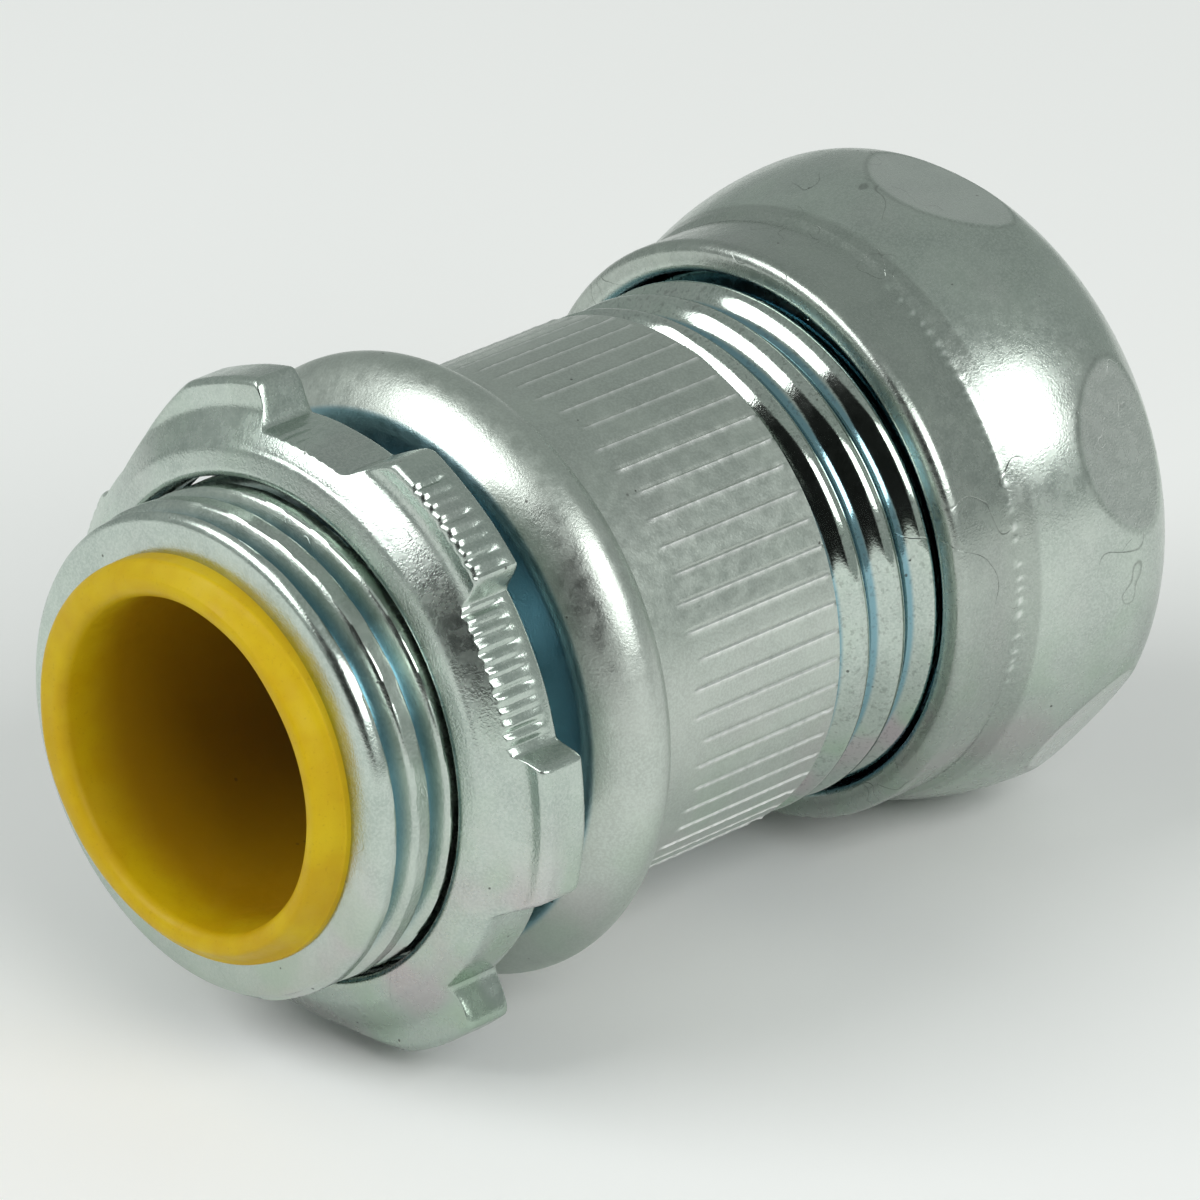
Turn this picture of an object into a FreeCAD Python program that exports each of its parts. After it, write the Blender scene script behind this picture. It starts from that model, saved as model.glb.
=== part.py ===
# Compression connector for thin-wall steel conduit, 1/2 inch trade size, with an insulated throat.
# Frame: +X along the axis from the threaded hub to the gland nut, +Z up with the axis level,
# origin on the axis in the plane of the shoulder that seats on the box wall. Millimetres.
import FreeCAD, Part
import os
import Sketcher

doc = FreeCAD.newDocument("compression_connector")

# Driving dimensions: alias, value, what it is.
SIZES = [
    ("hub_length", 10.4, "shoulder to the end of the threaded hub"),
    ("hub_thread_radius", 10.43, "crest radius of the hub thread"),
    ("hub_thread_pitch", 1.814, "14 threads per inch"),
    ("hub_thread_depth", 0.92, "crest to root"),
    ("hub_thread_lead", 0.88, "how far outside the hub's end the thread groove starts"),
    ("hub_end_chamfer", 0.6, "chamfer at the hub's end"),
    ("neck_length", 1.3, "plain neck between thread and shoulder"),
    ("neck_undercut", 1.03, "thread's crest to the plain neck"),
    ("seat_relief_depth", 0.1, "sinking of the shoulder face next to the neck"),
    ("seat_relief_rise", 0.15, "how far that sinking reaches outside the thread's crest"),
    ("hub_bore_radius", 8.2, "bore that holds the throat insulator"),
    ("bead_over_thread", 0.67, "hub thread's crest to the middle of the rolled bead"),
    ("bead_section", 2.2, "section radius of the bead"),
    ("bead_offset", 2.02, "shoulder face to the middle of the bead"),
    ("barrel_wall", 2.08, "wall of the barrel around the conduit socket"),
    ("barrel_length", 14.8, "shoulder face to the gland thread's relief"),
    ("relief_width", 0.6, "relief groove between barrel and gland thread"),
    ("gland_thread_length", 11.8, "relief to the open end of the body"),
    ("gland_thread_pitch", 2.117, "12 threads per inch"),
    ("gland_thread_depth", 0.75, "crest to root"),
    ("gland_thread_land", 0.35, "flat left on each crest"),
    ("gland_thread_start", 1.43, "relief to the middle of the groove's first turn"),
    ("conduit_bore_radius", 9.15, "socket for conduit of 17.93 mm diameter"),
    ("conduit_depth", 23.6, "open end to the conduit stop"),
    ("seat_angle", 30, "half angle of the ring's seat in the body"),
    ("seat_rise", 1.05, "how much wider that seat is at the open end than the socket"),
    ("throat_radius", 7.05, "wire way through the insulator"),
    ("lip_rise", 0.6, "how far the insulator's lip stands out from the hub's bore"),
    ("lip_length", 1.3, "how far the lip stands in front of the hub"),
    ("lip_round", 0.55, "rounding of the lip"),
    ("insulator_depth", 11.4, "length of the insulator past the hub's end"),
    ("press_overlap", 0.02, "how much larger the insulator is than its bore"),
    ("locknut_gap", 3.0, "shoulder face to the locknut's back"),
    ("locknut_rim", 2.3, "thickness of the locknut's rim"),
    ("locknut_crown", 1.3, "how far the locknut's middle stands forward of its rim"),
    ("locknut_clearance", 0.17, "radial gap between the locknut's bore and the thread's crests"),
    ("locknut_crown_width", 1.6, "bore to the foot of the crown"),
    ("locknut_thread_depth", 0.55, "depth of the thread groove in the locknut's bore"),
    ("lug_width", 3.9, "bore to the outside of the locknut's lugs"),
    ("recess_width", 2.05, "bore to the bottom of the recesses between lugs"),
    ("land_width", 2.5, "bore to the outside of the low ridged lands"),
    ("locknut_clocking", 153.8, "angle of the locknut's mirror line about +X from +Y"),
    ("front_land_angle", 15, "half width of the low land on the mirror line"),
    ("front_lug_angle", 40, "mirror line to the far edge of the first lug"),
    ("side_recess_start", 47, "mirror line to the foot of the first lug's ramp"),
    ("side_recess_end", 70, "mirror line to the second lug's step"),
    ("side_lug_end", 90, "mirror line to where the second lug's ramp starts"),
    ("rear_recess_start", 113, "mirror line to the foot of that ramp"),
    ("rear_land_start", 123, "mirror line to the rear land's step"),
    ("rear_land_end", 142, "mirror line to the end of the rear land"),
    ("rear_lug_start", 149, "mirror line to the top of the rear lug's ramp"),
    ("ring_wall", 1.3, "wall of the compression ring"),
    ("ring_tip_wall", 0.35, "wall at the ring's front edge"),
    ("ring_tail_wall", 0.5, "wall at the ring's back edge"),
    ("ring_land", 0.58, "flat between the ring's two tapers"),
    ("ring_bore_clearance", 0.05, "ring bore over the socket bore"),
    ("ring_slot", 1.6, "width of the ring's split"),
    ("tighten_travel", 0.8, "travel from here to the fully tightened ring"),
    ("seat_clearance", 0.1, "gap that is left at each of the ring's seats"),
    ("nut_length", 13.0, "mouth to far end of the gland nut"),
    ("nut_body_place", 9.3, "mouth to the nut's largest radius"),
    ("nut_cavity_depth", 7.9, "mouth to the nut's inner cone"),
    ("thread_clearance", 0.17, "radial gap around the gland thread's crests"),
    ("nut_thread_height", 0.6, "how far the nut's thread stands in from its bore"),
    ("nut_thread_base", 1.1, "width of the nut's thread at its foot"),
    ("nut_thread_inset", 1.4, "mouth to the first thread"),
    ("nut_hole_clearance", 0.2, "conduit hole in the nut's far end over the socket's bore"),
    ("nut_rim_wall", 1.35, "wall at the nut's mouth"),
    ("nut_rim_length", 3.4, "length of the straight part at the mouth"),
    ("nut_rim_round", 0.6, "rounding of the mouth's outer edge"),
    ("nut_body_wall", 2.7, "largest wall of the gland nut"),
    ("nut_end_round", 4.0, "rounding of the nut's far end"),
    ("nut_flare_round", 14, "radius of the curve from rim to body"),
    ("flat_depth", 0.55, "largest radius to the middle of a wrench flat"),
    ("flat_setback", 3.6, "far end to the middle of a wrench flat"),
    ("flat_angle", 3, "lean of a wrench flat towards the far end"),
    ("nut_clocking", 8.3, "turn of the nut's flats from the vertical"),
]
NUT_FLATS = 6

sheet = doc.addObject("Spreadsheet::Sheet", "Sizes")
for row, (alias, value, meaning) in enumerate(SIZES, start=1):
    sheet.set("A%d" % row, alias)
    sheet.set("B%d" % row, str(value))
    sheet.setAlias("B%d" % row, alias)
    sheet.set("C%d" % row, meaning)
doc.recompute()

# Places that several pieces share, as formulas on the sheet's cells.
BARREL = "(Sizes.conduit_bore_radius + Sizes.barrel_wall)"
BEAD_MIDDLE = "(Sizes.hub_thread_radius + Sizes.bead_over_thread)"
NECK = "(Sizes.hub_thread_radius - Sizes.neck_undercut)"
SEAT_MOUTH = "(Sizes.conduit_bore_radius + Sizes.seat_rise)"
LOCKNUT_BORE = "(Sizes.hub_thread_radius + Sizes.locknut_clearance)"
RING_BORE = "(Sizes.conduit_bore_radius + Sizes.ring_bore_clearance)"
RING = "(%s + Sizes.ring_wall)" % RING_BORE
RING_TIP = "(%s + Sizes.ring_tip_wall)" % RING_BORE
BODY_END = "(Sizes.barrel_length + Sizes.relief_width + Sizes.gland_thread_length)"
SEAT_SLOPE = "tan(Sizes.seat_angle * 1 deg)"
THREAD_START = "(Sizes.barrel_length + Sizes.relief_width + Sizes.gland_thread_start)"
RING_TAPER = "((%s - %s) / %s)" % (RING, RING_TIP, SEAT_SLOPE)
RING_PLACE = ("(%s - (%s - %s) / %s + Sizes.tighten_travel + Sizes.seat_clearance)"
              % (BODY_END, SEAT_MOUTH, RING_TIP, SEAT_SLOPE))
NUT_CAVITY = "(%s + Sizes.thread_clearance)" % BARREL
NUT_BODY = "(%s + Sizes.nut_body_wall)" % NUT_CAVITY
NUT_RIM = "(%s + Sizes.nut_rim_wall)" % NUT_CAVITY
NUT_HOLE = "(Sizes.conduit_bore_radius + Sizes.nut_hole_clearance)"
NUT_PLACE = ("(%s + %s + Sizes.ring_land + Sizes.seat_clearance - Sizes.nut_cavity_depth - %s + %s)"
             % (RING_PLACE, RING_TAPER, NUT_CAVITY, RING))


def number(formula):
    """A formula's present value, without its unit."""
    value = sheet.evalExpression(str(formula))
    return float(getattr(value, "Value", value))


def origin_feature(body, role):
    return next(f for f in body.Origin.OriginFeatures if f.Role == role)


def new_body(label):
    body = doc.addObject("PartDesign::Body", label)
    body.Label = label
    return body


def outline_sketch(body, name, plane, corners):
    """A closed outline. Each corner is (first, second, bend): two coordinates as formulas, and the
    bend of the edge that arrives there: None for a line, or (radius formula, centre's first and
    second coordinate) for a circular arc, where the centre only says on which side the arc lies."""
    sketch = body.newObject("Sketcher::SketchObject", name)
    sketch.AttachmentSupport = [(origin_feature(body, plane), "")]
    sketch.MapMode = "FlatFace"
    points = [FreeCAD.Vector(number(a), number(b), 0) for a, b, bend in corners]
    starts = []
    for i, (a, b, bend) in enumerate(corners):
        before, here = points[i - 1], points[i]
        if bend is None:
            edge = sketch.addGeometry(Part.LineSegment(before, here), False)
            starts.append((edge, 1, 2))
            continue
        centre = FreeCAD.Vector(number(bend[1]), number(bend[2]), 0)
        turn = (before - centre).cross(here - centre).z
        first, last = (before, here) if turn > 0 else (here, before)
        angles = [(p - centre).getAngle(FreeCAD.Vector(1, 0, 0)) for p in (first, last)]
        angles = [g if (p - centre).y >= 0 else -g for g, p in zip(angles, (first, last))]
        circle = Part.Circle(centre, FreeCAD.Vector(0, 0, 1), (first - centre).Length)
        edge = sketch.addGeometry(Part.ArcOfCircle(circle, angles[0], angles[1]), False)
        starts.append((edge, 1, 2) if turn > 0 else (edge, 2, 1))
    for i, (a, b, bend) in enumerate(corners):
        edge, start, end = starts[i]
        after, after_start, _ = starts[(i + 1) % len(corners)]
        sketch.addConstraint(Sketcher.Constraint("Coincident", edge, end, after, after_start))
        for kind, formula, value in (("DistanceX", a, points[i].x), ("DistanceY", b, points[i].y)):
            index = sketch.addConstraint(Sketcher.Constraint(kind, -1, 1, edge, end, value))
            sketch.setExpression("Constraints[%d]" % index, str(formula))
        if bend is not None:
            radius = number(bend[0])
            index = sketch.addConstraint(Sketcher.Constraint("Radius", edge, radius))
            sketch.setExpression("Constraints[%d]" % index, str(bend[0]))
    doc.recompute()
    return sketch


def revolve(body, name, corners):
    """A full turn about X of an outline given as (x, radius, bend)."""
    sketch = outline_sketch(body, name + "_profile", "XZ_Plane", corners)
    feature = body.newObject("PartDesign::Revolution", name)
    feature.Profile = sketch
    feature.ReferenceAxis = (origin_feature(body, "X_Axis"), [""])
    feature.Angle = 360
    doc.recompute()
    return feature


def helix(body, name, kind, corners, pitch, height):
    """A right-hand thread about X, cut or added along +X from its outline in the XZ plane."""
    sketch = outline_sketch(body, name + "_profile", "XZ_Plane", corners)
    before = body.Shape.Volume
    feature = body.newObject(kind, name)
    feature.Profile = sketch
    feature.ReferenceAxis = (origin_feature(body, "X_Axis"), [""])
    feature.Mode = "pitch-height-angle"
    feature.Angle = 0
    feature.LeftHanded = False
    feature.setExpression("Pitch", pitch)
    feature.setExpression("Height", height)
    doc.recompute()
    if abs(body.Shape.Volume - before) < 1.0:
        raise RuntimeError(name + " changed nothing")
    return feature


def connector_body():
    body = new_body("connector_body")
    bead_foot = "sqrt(Sizes.bead_section^2 - Sizes.bead_offset^2)"
    bead_back = "sqrt(Sizes.bead_section^2 - (%s - %s)^2)" % (BARREL, BEAD_MIDDLE)
    bead = ("Sizes.bead_section", "Sizes.bead_offset", BEAD_MIDDLE)
    crest = "Sizes.hub_thread_radius"
    relief = "(%s - Sizes.gland_thread_depth)" % BARREL
    relief_end = "Sizes.barrel_length + Sizes.relief_width"
    stop = "%s - Sizes.conduit_depth" % BODY_END
    seat = "%s - Sizes.seat_rise / %s" % (BODY_END, SEAT_SLOPE)
    revolve(body, "turned_body", [
        ("-Sizes.hub_length", "Sizes.hub_bore_radius", None),
        ("-Sizes.hub_length", crest + " - Sizes.hub_end_chamfer", None),
        ("-Sizes.hub_length + Sizes.hub_end_chamfer", crest, None),
        ("-Sizes.neck_length", crest, None),
        ("-Sizes.neck_length", NECK, None),
        ("Sizes.seat_relief_depth", NECK, None),
        ("Sizes.seat_relief_depth", crest + " + Sizes.seat_relief_rise", None),
        ("0", crest + " + Sizes.seat_relief_rise", None),
        ("0", "%s + %s" % (BEAD_MIDDLE, bead_foot), None),
        ("Sizes.bead_offset", "%s + Sizes.bead_section" % BEAD_MIDDLE, bead),
        ("Sizes.bead_offset + %s" % bead_back, BARREL, bead),
        ("Sizes.barrel_length", BARREL, None),
        ("Sizes.barrel_length", relief, None),
        (relief_end, relief, None),
        (relief_end, BARREL, None),
        (BODY_END, BARREL, None),
        (BODY_END, SEAT_MOUTH, None),
        (seat, "Sizes.conduit_bore_radius", None),
        (stop, "Sizes.conduit_bore_radius", None),
        (stop, "Sizes.hub_bore_radius", None),
    ])
    half_width = "(Sizes.hub_thread_depth * tan(30 deg))"
    outside = "Sizes.hub_thread_radius + 0.3"
    spread = "(%s + 0.3 * tan(30 deg))" % half_width
    start = "(-Sizes.hub_length - Sizes.hub_thread_lead)"
    helix(body, "hub_thread", "PartDesign::SubtractiveHelix", [
        ("%s - %s" % (start, spread), outside, None),
        ("%s - 0.06" % start, crest + " - Sizes.hub_thread_depth", None),
        ("%s + 0.06" % start, crest + " - Sizes.hub_thread_depth", None),
        ("%s + %s" % (start, spread), outside, None),
    ], "Sizes.hub_thread_pitch", "Sizes.hub_length + Sizes.hub_thread_lead - Sizes.neck_length / 2")
    groove = "((Sizes.gland_thread_pitch - Sizes.gland_thread_land) / 2)"
    rim = BARREL + " + 0.2"
    helix(body, "gland_thread", "PartDesign::SubtractiveHelix", [
        ("%s - %s - 0.2" % (THREAD_START, groove), rim, None),
        ("%s - 0.06" % THREAD_START, relief, None),
        ("%s + 0.06" % THREAD_START, relief, None),
        ("%s + %s + 0.2" % (THREAD_START, groove), rim, None),
    ], "Sizes.gland_thread_pitch", "Sizes.gland_thread_length - Sizes.gland_thread_start + 1.5")
    return body


def throat_insulator():
    body = new_body("throat_insulator")
    sleeve = "(Sizes.hub_bore_radius + Sizes.press_overlap)"
    lip = "(Sizes.hub_bore_radius + Sizes.lip_rise)"
    front = "-Sizes.lip_length"
    bore_round = ("Sizes.lip_round", front + " + Sizes.lip_round", "Sizes.throat_radius + Sizes.lip_round")
    edge_round = ("Sizes.lip_round", front + " + Sizes.lip_round", lip + " - Sizes.lip_round")
    revolve(body, "sleeve", [
        ("Sizes.insulator_depth", "Sizes.throat_radius", None),
        (front + " + Sizes.lip_round", "Sizes.throat_radius", None),
        (front, "Sizes.throat_radius + Sizes.lip_round", bore_round),
        (front, lip + " - Sizes.lip_round", None),
        (front + " + Sizes.lip_round", lip, edge_round),
        ("0", lip, None),
        ("0", sleeve, None),
        ("Sizes.insulator_depth", sleeve, None),
    ])
    body.setExpression("Placement.Base.x", "-Sizes.hub_length")
    return body


def polar(radius, angle):
    """Corner formulas in the YZ plane of a point at an angle from the locknut's mirror line."""
    turned = "(Sizes.locknut_clocking + %s)" % angle
    return ("%s * cos(%s * 1 deg)" % (radius, turned), "%s * sin(%s * 1 deg)" % (radius, turned))


def about_axis(radius):
    """The bend of an edge that runs round the axis at a radius."""
    return (radius, "0", "0")


def cut_recess(body, name, corners):
    """Cut one recess of the locknut's edge, through its whole thickness."""
    sketch = outline_sketch(body, name + "_outline", "YZ_Plane", corners)
    before = body.Shape.Volume
    pocket = body.newObject("PartDesign::Pocket", name)
    pocket.Profile = sketch
    pocket.Type = "ThroughAll"
    pocket.Midplane = True
    doc.recompute()
    if body.Shape.Volume > before - 1.0:
        raise RuntimeError(name + " cut nothing")
    return pocket


def locknut():
    body = new_body("locknut")
    rim = "-Sizes.locknut_rim"
    front = "-(Sizes.locknut_rim + Sizes.locknut_crown)"
    bore = LOCKNUT_BORE
    crown = "(%s + Sizes.locknut_crown_width)" % bore
    lug = "(%s + Sizes.lug_width)" % bore
    low = "(%s + Sizes.recess_width)" % bore
    land = "(%s + Sizes.land_width)" % bore
    far = "(%s + 1)" % lug
    revolve(body, "dished_plate", [
        (front, bore, None),
        (front, bore + " + 0.3", None),
        (rim, crown, None),
        (rim, lug, None),
        ("0", lug, None),
        ("0", crown + " + 0.4", None),
        ("-Sizes.locknut_crown / 2", bore, None),
    ])
    step = "Sizes.front_land_angle"
    cut_recess(body, "front_land", [
        polar(far, "-" + step) + (about_axis(far),),
        polar(land, "-" + step) + (None,),
        polar(land, step) + (about_axis(land),),
        polar(far, step) + (None,),
    ])
    for side, sign in (("left", "-"), ("right", "+")):
        def corner(radius, angle, bend=None):
            return polar(radius, "(%s Sizes.%s)" % (sign, angle)) + (bend,)
        cut_recess(body, side + "_recess", [
            corner(far, "front_lug_angle", about_axis(far)),
            corner(lug, "front_lug_angle"),
            corner(low, "side_recess_start"),
            corner(low, "side_recess_end", about_axis(low)),
            corner(far, "side_recess_end"),
        ])
        cut_recess(body, side + "_rear_recess", [
            corner(far, "side_lug_end", about_axis(far)),
            corner(lug, "side_lug_end"),
            corner(low, "rear_recess_start"),
            corner(low, "rear_land_start", about_axis(low)),
            corner(land, "rear_land_start"),
            corner(land, "rear_land_end", about_axis(land)),
            corner(lug, "rear_lug_start"),
            corner(far, "rear_lug_start"),
        ])
    start = "(%s - Sizes.hub_thread_pitch / 2)" % front
    half = "(Sizes.locknut_thread_depth * tan(30 deg))"
    helix(body, "bore_thread", "PartDesign::SubtractiveHelix", [
        ("%s - %s - 0.2" % (start, half), bore + " - 0.3", None),
        ("%s - 0.1" % start, bore + " + Sizes.locknut_thread_depth", None),
        ("%s + 0.1" % start, bore + " + Sizes.locknut_thread_depth", None),
        ("%s + %s + 0.2" % (start, half), bore + " - 0.3", None),
    ], "Sizes.hub_thread_pitch", "Sizes.locknut_rim + Sizes.locknut_crown + Sizes.hub_thread_pitch")
    body.setExpression("Placement.Base.x", "-Sizes.locknut_gap")
    return body


def compression_ring():
    body = new_body("compression_ring")
    tail_radius = "(%s + Sizes.ring_tail_wall)" % RING_BORE
    shoulder = "(%s + Sizes.ring_land)" % RING_TAPER
    tail = "(%s + %s - %s)" % (shoulder, RING, tail_radius)
    revolve(body, "tapered_ring", [
        ("0", RING_BORE, None),
        ("0", RING_TIP, None),
        (RING_TAPER, RING, None),
        (shoulder, RING, None),
        (tail, tail_radius, None),
        (tail, RING_BORE, None),
    ])
    slot = outline_sketch(body, "slot_outline", "XY_Plane", [
        ("-1", "-Sizes.ring_slot / 2", None),
        ("%s + 1" % tail, "-Sizes.ring_slot / 2", None),
        ("%s + 1" % tail, "Sizes.ring_slot / 2", None),
        ("-1", "Sizes.ring_slot / 2", None),
    ])
    before = body.Shape.Volume
    pocket = body.newObject("PartDesign::Pocket", "split")
    pocket.Profile = slot
    pocket.Type = "ThroughAll"
    pocket.Reversed = True
    doc.recompute()
    if body.Shape.Volume > before - 1.0:
        raise RuntimeError("the ring is not split")
    body.setExpression("Placement.Base.x", RING_PLACE)
    return body


def gland_nut():
    body = new_body("gland_nut")
    cavity = NUT_CAVITY
    length = "Sizes.nut_length"
    rim_round = ("Sizes.nut_rim_round", "Sizes.nut_rim_round", NUT_RIM + " - Sizes.nut_rim_round")
    end_centre = "(%s - Sizes.nut_end_round)" % NUT_BODY
    end_edge = "(%s + sqrt(Sizes.nut_end_round^2 - (%s - Sizes.nut_body_place)^2))" % (end_centre, length)
    end_round = ("Sizes.nut_end_round", "Sizes.nut_body_place", end_centre)
    flare = ("Sizes.nut_flare_round", "Sizes.nut_body_place", NUT_BODY + " - Sizes.nut_flare_round")
    hole_end = "(Sizes.nut_cavity_depth + %s - %s)" % (cavity, NUT_HOLE)
    revolve(body, "turned_nut", [
        ("0", cavity + " + 0.2", None),
        ("0", NUT_RIM + " - Sizes.nut_rim_round", None),
        ("Sizes.nut_rim_round", NUT_RIM, rim_round),
        ("Sizes.nut_rim_length", NUT_RIM, None),
        ("Sizes.nut_body_place", NUT_BODY, flare),
        (length, end_edge, end_round),
        (length, NUT_HOLE + " + 0.5", None),
        (length + " - 0.5", NUT_HOLE, None),
        (hole_end, NUT_HOLE, None),
        ("Sizes.nut_cavity_depth", cavity, None),
        ("0.2", cavity, None),
    ])
    slope = "tan(Sizes.flat_angle * 1 deg)"
    middle = "(%s - Sizes.flat_setback)" % length
    reach = "(%s + 1)" % length
    flat_place = "(%s - Sizes.flat_depth)" % NUT_BODY
    flat = outline_sketch(body, "flat_outline", "XZ_Plane", [
        ("Sizes.nut_rim_length", "%s + (%s - Sizes.nut_rim_length) * %s" % (flat_place, middle, slope), None),
        (reach, "%s + (%s - %s) * %s" % (flat_place, middle, reach, slope), None),
        (reach, NUT_BODY + " + 3", None),
        ("Sizes.nut_rim_length", NUT_BODY + " + 3", None),
    ])
    before = body.Shape.Volume
    pocket = body.newObject("PartDesign::Pocket", "wrench_flat")
    pocket.Profile = flat
    pocket.Type = "ThroughAll"
    pocket.Midplane = True
    doc.recompute()
    if body.Shape.Volume > before - 1.0:
        raise RuntimeError("the wrench flat cut nothing")
    pattern = body.newObject("PartDesign::PolarPattern", "wrench_flats")
    pattern.Originals = [pocket]
    pattern.Axis = (origin_feature(body, "X_Axis"), [""])
    pattern.Angle = 360
    pattern.Occurrences = NUT_FLATS
    body.Tip = pattern
    doc.recompute()
    # The nut's thread starts on the same helix as the body's groove, the first turn past the inset.
    turns = "ceil((%s + Sizes.nut_thread_inset - %s) / Sizes.gland_thread_pitch)" % (NUT_PLACE, THREAD_START)
    start = "(%s - %s + Sizes.gland_thread_pitch * %s)" % (THREAD_START, NUT_PLACE, turns)
    start = "(%s + Sizes.gland_thread_pitch * Sizes.nut_clocking / 360)" % start
    helix(body, "nut_thread", "PartDesign::AdditiveHelix", [
        ("%s - Sizes.nut_thread_base / 2" % start, cavity + " + 0.1", None),
        ("%s - 0.1" % start, "%s - Sizes.nut_thread_height" % cavity, None),
        ("%s + 0.1" % start, "%s - Sizes.nut_thread_height" % cavity, None),
        ("%s + Sizes.nut_thread_base / 2" % start, cavity + " + 0.1", None),
    ], "Sizes.gland_thread_pitch",
        "Sizes.nut_cavity_depth - Sizes.nut_thread_inset - Sizes.gland_thread_pitch")
    body.Placement.Rotation = FreeCAD.Rotation(FreeCAD.Vector(1, 0, 0), number("Sizes.nut_clocking"))
    body.setExpression("Placement.Base.x", NUT_PLACE)
    return body


pieces = [connector_body(), throat_insulator(), locknut(), compression_ring(), gland_nut()]
doc.recompute()

for thing in doc.Objects:
    if "Invalid" in thing.State or "Error" in thing.State:
        raise RuntimeError("%s failed: %s" % (thing.Name, thing.State))
os.makedirs("parts", exist_ok=True)
for piece in pieces:
    if piece.Shape.isNull() or not piece.Shape.isValid():
        raise RuntimeError(piece.Label + " has no valid shape")
    piece.Shape.exportStep(os.path.join("parts", piece.Label + ".step"))
    box = piece.Shape.BoundBox
    print("%-18s %8.1f mm3, %d solid, x %.2f to %.2f, radius %.2f" % (
        piece.Label, piece.Shape.Volume, len(piece.Shape.Solids), box.XMin, box.XMax,
        max(box.YMax, box.ZMax)))
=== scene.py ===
"""Looks of a compression connector for thin-wall steel conduit, lying on a pale table.

The outlines below are (distance along the axis, radius) in millimetres in the part's own frame, +X from
the threaded hub to the gland nut. Angles are in degrees about +X, counted from +Y towards +Z.
"""
import math

import bpy
import numpy as np
from mathutils import Matrix, Vector


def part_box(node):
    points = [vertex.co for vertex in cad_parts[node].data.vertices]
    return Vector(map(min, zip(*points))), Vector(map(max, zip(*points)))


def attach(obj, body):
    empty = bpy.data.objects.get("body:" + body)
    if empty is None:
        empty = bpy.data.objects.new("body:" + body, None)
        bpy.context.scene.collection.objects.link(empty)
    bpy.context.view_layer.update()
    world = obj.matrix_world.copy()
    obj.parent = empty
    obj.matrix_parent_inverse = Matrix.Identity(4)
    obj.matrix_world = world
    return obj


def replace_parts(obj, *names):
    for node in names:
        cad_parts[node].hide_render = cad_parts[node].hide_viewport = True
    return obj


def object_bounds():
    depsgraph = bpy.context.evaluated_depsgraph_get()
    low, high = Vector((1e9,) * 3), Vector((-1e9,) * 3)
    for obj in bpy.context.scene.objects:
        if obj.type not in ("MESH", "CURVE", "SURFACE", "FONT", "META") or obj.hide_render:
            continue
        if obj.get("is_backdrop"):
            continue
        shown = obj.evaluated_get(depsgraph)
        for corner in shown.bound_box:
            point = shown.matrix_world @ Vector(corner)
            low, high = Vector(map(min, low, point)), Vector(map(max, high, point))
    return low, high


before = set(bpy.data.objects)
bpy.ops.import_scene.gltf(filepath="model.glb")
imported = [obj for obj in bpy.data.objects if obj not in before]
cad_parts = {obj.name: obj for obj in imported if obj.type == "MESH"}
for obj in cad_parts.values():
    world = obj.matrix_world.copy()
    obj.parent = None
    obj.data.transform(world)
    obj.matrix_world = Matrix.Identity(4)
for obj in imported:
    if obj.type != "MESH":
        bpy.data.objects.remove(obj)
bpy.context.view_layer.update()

MM = 0.001
MERGE = 0.002 * MM                  # points nearer than this are one point
rng = np.random.default_rng(14)

# Places read from the frame, in millimetres.
body_low, body_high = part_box("connector_body")
sleeve_low, sleeve_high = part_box("throat_insulator")
locknut_low, locknut_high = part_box("locknut")
nut_low, nut_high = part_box("gland_nut")
HUB_END = body_low.x / MM
BODY_END = body_high.x / MM
BEAD_TOP = body_high.z / MM
LIP_END = sleeve_low.x / MM
SLEEVE_END = sleeve_high.x / MM
LOCKNUT_FRONT = locknut_low.x / MM
LOCKNUT_BACK = locknut_high.x / MM
NUT_MOUTH = nut_low.x / MM
NUT_END = nut_high.x / MM

# Sizes in millimetres and angles in degrees.
HUB_BORE = 8.2
HUB_CREST = 10.43
HUB_NOSE = 0.62                     # rounding of the hub's open end
HUB_PITCH = 1.814
HUB_DEPTH = 0.92
HUB_GROOVE = 0.58                   # half the width of the hub thread's groove
HUB_START = HUB_END - 0.88          # a groove's middle at 90 degrees
NECK = 9.4
NECK_START = -1.3
NECK_END = 0.3                      # just inside the shoulder
BEAD_FOOT = 11.45                   # where the bead leaves the shoulder face
BEAD_BROW = 1.2                     # where its steep front would meet the crown's level
BEAD_CROWN = 2.2
BEAD_BACK = 1.75                    # crown to the barrel
BARREL = 11.23
KNURL = (6.5, 14.55)                # the scored lines run from here to here
KNURL_LINES = 58
KNURL_COLUMNS = 12                  # columns of the mesh for each line
RELIEF = (14.8, 15.4)
GLAND_PITCH = 2.117
GLAND_DEPTH = 0.75
GLAND_ROOT = BARREL - GLAND_DEPTH
GLAND_START = 16.83                 # a groove's middle at 90 degrees
SOCKET = 9.15
SOCKET_STOP = BODY_END - 23.6
SEAT_MOUTH = 10.2
SEAT_ANGLE = 30
SEAT_START = BODY_END - (SEAT_MOUTH - SOCKET) / math.tan(math.radians(SEAT_ANGLE))
THROAT = 7.05
LIP = 8.8
SUNK_SIDE = 190                     # the lip's rim is pressed nearest to the hub at this angle
LOCKNUT_BORE = 10.6
LOCKNUT_THREAD = 0.4                # depth of the grooves in its bore
LOCKNUT_SINK = 12.6                 # countersink on its back
LOCKNUT_RIM = 2.3                   # width of its edge along the axis
LOCKNUT_FOOT = 11.9                 # the plate takes its edge's outline beyond this radius
LUG = 14.47
LAND = 13.1
RECESS = 12.65
LOCKNUT_MIRROR = 153.8              # the locknut's edge is a mirror image about this angle
NUT_CAVITY = 11.4
NUT_CAVITY_LENGTH = 7.9
NUT_RIM = 12.75
NUT_RIM_LENGTH = 3.4
NUT_BODY = 14.08
NUT_WIDEST = 9.3                    # from the mouth, as the thread's ends and the flats' place are
NUT_THREAD = (1.2, 6.5)
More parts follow.
